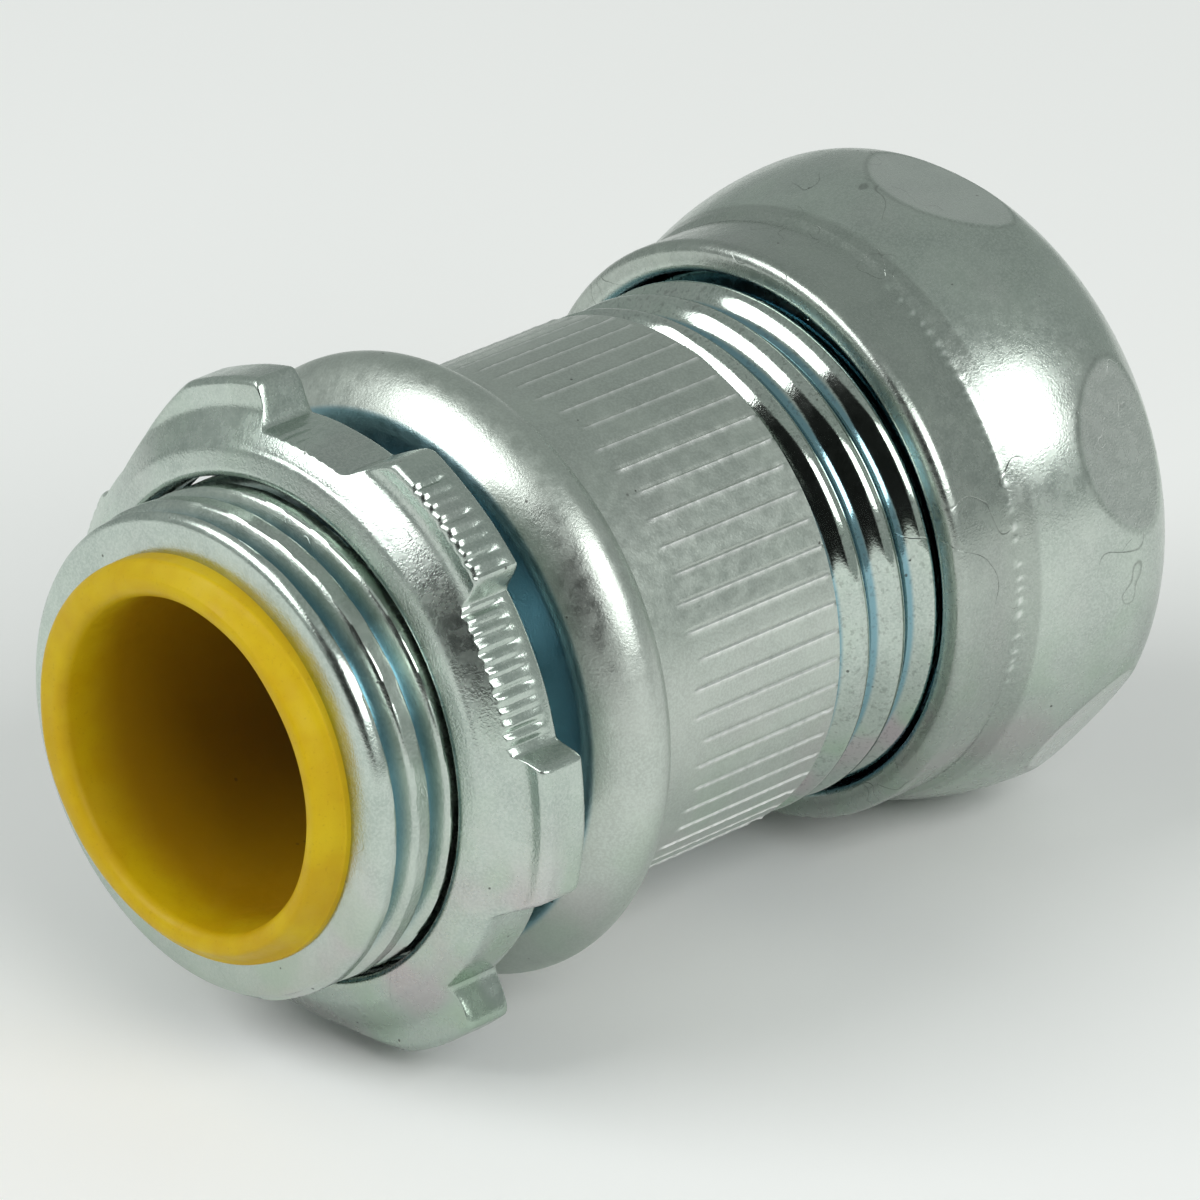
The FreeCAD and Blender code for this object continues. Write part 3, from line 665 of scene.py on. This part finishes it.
def gland_nut():
    """Drawn nut: straight rim, crease, flared body with six wrench flats, rounded end and inner thread."""
    def at(place):
        return NUT_MOUTH + place

    flare, rim_round, end_round, hole_round = 14.4, 0.55, 4.0, 0.5
    length = NUT_END - NUT_MOUTH
    lean = math.degrees(math.asin((NUT_WIDEST - NUT_RIM_LENGTH - 0.4) / flare))
    hole_end = NUT_CAVITY_LENGTH + NUT_CAVITY - NUT_HOLE
    last = math.degrees(math.asin((length - 0.25 - NUT_WIDEST) / end_round))
    outline = [(at(0.25), NUT_CAVITY), (at(0.08), NUT_CAVITY + 0.08), (at(0), NUT_CAVITY + 0.25)]
    outline += line((at(0), NUT_CAVITY + 0.35), (at(0), NUT_RIM - rim_round), 0.2)
    outline += arc((at(rim_round), NUT_RIM - rim_round), rim_round, -90, 0, 8)
    outline += line((at(rim_round + 0.1), NUT_RIM), (at(NUT_RIM_LENGTH - 0.15), NUT_RIM), 0.2)
    outline += [(at(NUT_RIM_LENGTH - 0.15), NUT_RIM), (at(NUT_RIM_LENGTH + 0.02), NUT_RIM + 0.015),
                (at(NUT_RIM_LENGTH + 0.2), NUT_RIM + 0.05)]
    outline += arc((at(NUT_WIDEST), NUT_BODY - flare), flare, -lean, 0, 40)
    outline += arc((at(NUT_WIDEST), NUT_BODY - end_round), end_round, 0, last, 26)[1:]
    outline += [(at(length - 0.08), outline[-1][1] - 0.25), (at(length), outline[-1][1] - 0.55)]
    outline += line((at(length), outline[-1][1] - 0.3), (at(length), NUT_HOLE + hole_round), 0.3)
    outline += arc((at(length - hole_round), NUT_HOLE + hole_round), hole_round, 90, 180, 5)
    outline += line((at(length - 0.7), NUT_HOLE), (at(hole_end), NUT_HOLE), 0.5)
    outline += line((at(hole_end), NUT_HOLE), (at(NUT_CAVITY_LENGTH), NUT_CAVITY), 0.5)
    outline += line((at(NUT_CAVITY_LENGTH), NUT_CAVITY), (at(0.3), NUT_CAVITY), 0.13)
    piece = turn("gland_nut_shell", outline, columns=512, sectors=16)

    def form(x, radius, angle):
        """Presses the wrench flats and the crease, and raises the thread in the cavity."""
        place = x - NUT_MOUTH
        outside = radius > NUT_CAVITY + 0.5
        off = (angle - FLAT_MIDDLE + FLAT_EVERY / 2) % FLAT_EVERY - FLAT_EVERY / 2
        reach = FLAT_REACH - (place - FLAT_PLACE) * math.tan(math.radians(FLAT_LEAN))
        cut = (radius - reach / np.cos(np.radians(off))) * outside * smooth(4.2, 5.6, place)
        soft = 0.02
        pressed = radius - soft * np.logaddexp(0, np.clip(cut / soft, -40, 40))
        radius = np.where(outside & (cut > -0.2), pressed, radius)
        crease = mound(place, NUT_RIM_LENGTH, 0.14) * outside
        nicks = between((108, 120), (190, 205), angle % 360) * crease
        chatter = ripple(x * 8, angle, (97, 143, 211), 6)
        radius = radius - 0.03 * crease + 0.03 * nicks * chatter
        radius = radius + 0.012 * (ripple(x * 0.6, angle, (2, 5, 11), 16) - 1) * outside
        inside = np.abs(radius - NUT_CAVITY) < 0.03
        away = np.abs(off_helix(x, angle, GLAND_START, GLAND_PITCH))
        first, final = NUT_THREAD
        ends = between((first, first + 0.5), (final - 0.5, final), place)
        ridge = NUT_THREAD_HEIGHT * (1 - smooth(0.1, 0.55, away)) * ends
        radius = np.where(inside, radius - ridge, radius)
        # painted light makes the flats' faces lighter; a darker line runs along their edges, and nicks in
        # the crease are bright with wear
        wear_and_painted_light = 0.30 * smooth(0.0, 0.08, cut) - 0.22 * mound(cut, 0, 0.03) + 0.8 * nicks * (chatter > 0.25)
        return x, radius, angle, wear_and_painted_light * outside

    # painted shade on the nut cavity's wall and thread, towards the mouth
    def cavity(finish):
        inner = finish.span(finish.radius(), (NUT_CAVITY + 0.1) * MM, (NUT_CAVITY + 0.3) * MM, 0.85, 0.0)
        deep = finish.span(finish.axis("X"), (NUT_END - 5.5) * MM, (NUT_END - 4.5) * MM, 1.0, 0.0)
        return finish.math("MULTIPLY", inner, deep)

    press(piece, form)
    return dress(piece, "gland_nut",
                 zinc("gland_nut_zinc", roughness=0.25, grain=0.4, painted_shade=cavity, scratches=1.0, rainbow=0.5,
                      warm=0.15))


# ---------------------------------------------------------------- assembly

for part in (hub(), barrel(), gland_thread()):
    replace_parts(part, "connector_body")
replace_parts(insulator(), "throat_insulator")
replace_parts(locknut(), "locknut")
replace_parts(gland_nut(), "gland_nut")
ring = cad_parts["compression_ring"]
ring.data.materials.clear()
ring.data.materials.append(zinc("ring_zinc", roughness=0.26, grain=0.4))


# ---------------------------------------------------------------- stage

def direction(azimuth, elevation):
    """Unit vector at an azimuth from +X towards +Y and an elevation."""
    a, e = math.radians(azimuth), math.radians(elevation)
    return Vector((math.cos(a) * math.cos(e), math.sin(a) * math.cos(e), math.sin(e)))


def softbox(name, azimuth, elevation, width, height, brightness):
    """A soft area light 0.9 m away, of that angular size in degrees and radiance."""
    distance = 0.9
    light = bpy.data.lights.new(name, "AREA")
    light.shape = "RECTANGLE"
    light.size = 2 * distance * math.tan(math.radians(width / 2))
    light.size_y = 2 * distance * math.tan(math.radians(height / 2))
    light.energy = brightness * math.pi * light.size * light.size_y
    holder = bpy.data.objects.new(name, light)
    bpy.context.scene.collection.objects.link(holder)
    holder.location = direction(azimuth, elevation) * distance
    holder.rotation_mode = "QUATERNION"
    holder.rotation_quaternion = direction(azimuth, elevation).to_track_quat("Z", "Y")


def room():
    """Pale room light with one dark side below 46 degrees."""
    world = bpy.data.worlds.new("room")
    bpy.context.scene.world = world
    world.use_nodes = True
    tree = world.node_tree
    middle, half, soft = math.radians(-152), math.radians(26), math.radians(3)
    top, soft_top = math.sin(math.radians(46)), 0.03
    bright, dark = 0.38, 0.012

    def math_node(operation, *values):
        inputs = {f"i{place}": value for place, value in enumerate(values)}
        return add_node(tree, "Math", {"operation": operation}, **inputs).outputs[0]

    def map_range(settings, value, low, high, first, last):
        node = add_node(tree, "MapRange", settings, i0=value, i1=low, i2=high, i3=first, i4=last)
        return node.outputs["Result"]

    def below(value, limit, edge):
        """1 below a limit and 0 above it, with a soft edge."""
        return map_range({"interpolation_type": "SMOOTHSTEP"}, value, limit - edge, limit + edge, 1.0, 0.0)

    way = tree.nodes.new("ShaderNodeTexCoord").outputs["Generated"]
    ray = add_node(tree, "SeparateXYZ", i0=way)
    azimuth = math_node("ARCTAN2", ray.outputs["Y"], ray.outputs["X"])
    off = math_node("ABSOLUTE", math_node("SUBTRACT", azimuth, middle))
    shade = math_node("MULTIPLY", below(off, half, soft), below(ray.outputs["Z"], top, soft_top))
    background = tree.nodes["Background"]
    feed(tree, background.inputs["Color"], ROOM)
    feed(tree, background.inputs["Strength"], map_range({}, shade, 0.0, 1.0, bright, dark))


def table():
    """A wide pale table that the object lies on."""
    bpy.ops.object.select_all(action="DESELECT")
    bpy.ops.mesh.primitive_plane_add(size=6, location=(0, 0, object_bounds()[0].z))
    top = bpy.context.object
    top.name = "table"
    finish = Finish("pale_table")
    finish.wire(Base_Color=TABLE, Roughness=0.9)
    top.data.materials.append(finish.material)
    top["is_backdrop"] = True


def camera():
    """Long lens held level, in front of the hub and above it."""
    forward = Vector((0.6387, 0.6439, -0.4215)).normalized()
    right = Vector((0.7099, -0.7043, 0)).normalized()
    up = right.cross(forward)
    place = Vector((-0.25307, -0.26723, 0.1746))
    data = bpy.data.cameras.new("camera")
    data.lens = 300
    data.sensor_width = 36
    data.clip_end = 20
    holder = bpy.data.objects.new("camera", data)
    bpy.context.scene.collection.objects.link(holder)
    turned = Matrix((right, up, -forward)).transposed().to_4x4()
    holder.matrix_world = Matrix.Translation(place) @ turned
    bpy.context.scene.camera = holder


softbox("window_side", azimuth=-94, elevation=35, width=47, height=26, brightness=4.3)
softbox("back_side", azimuth=154, elevation=41, width=42, height=25, brightness=4.6)
room()
table()
camera()
bpy.context.scene.view_settings.view_transform = "Standard"
